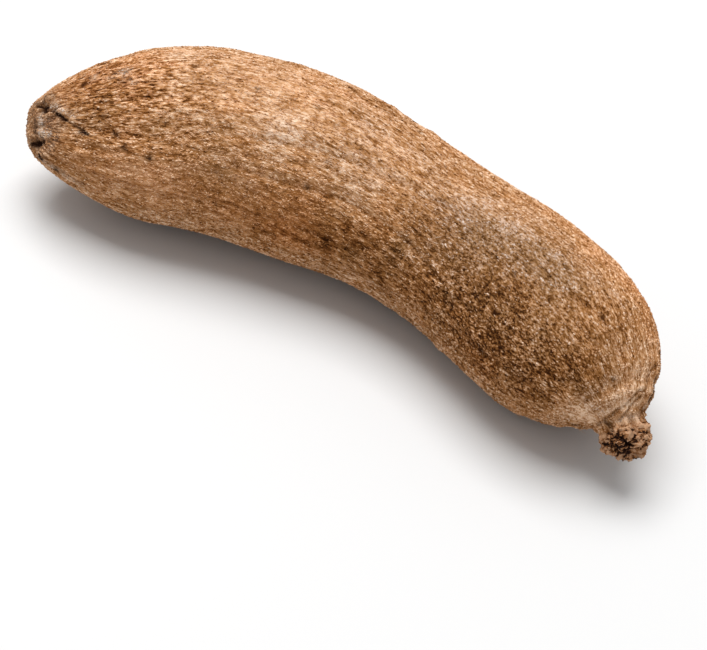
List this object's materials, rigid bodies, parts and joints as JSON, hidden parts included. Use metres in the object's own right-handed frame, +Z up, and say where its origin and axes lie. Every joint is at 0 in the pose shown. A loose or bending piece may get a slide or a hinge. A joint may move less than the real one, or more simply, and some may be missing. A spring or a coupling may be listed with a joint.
{
  "type": "yam",
  "caption": "Whole raw yam lying on its side: a long, thick, bent tuber with rough fibrous bark, a blunt scarred tail and a knobbly crown.",
  "frame": {"origin": "on the floor, under the middle of the box", "axes": "+X along the tuber, from the scarred tail to the knobbly crown; +Z up; the hollow side of the bend faces -Y"},
  "size_m": [0.3668, 0.1287, 0.0981],
  "materials": {
    "bark": "dry, rough, fibrous brown bark with tan fibres along the grain; matt"
  },
  "bodies": {
    "root": {"yam": "bark"}
  },
  "joints": []
}
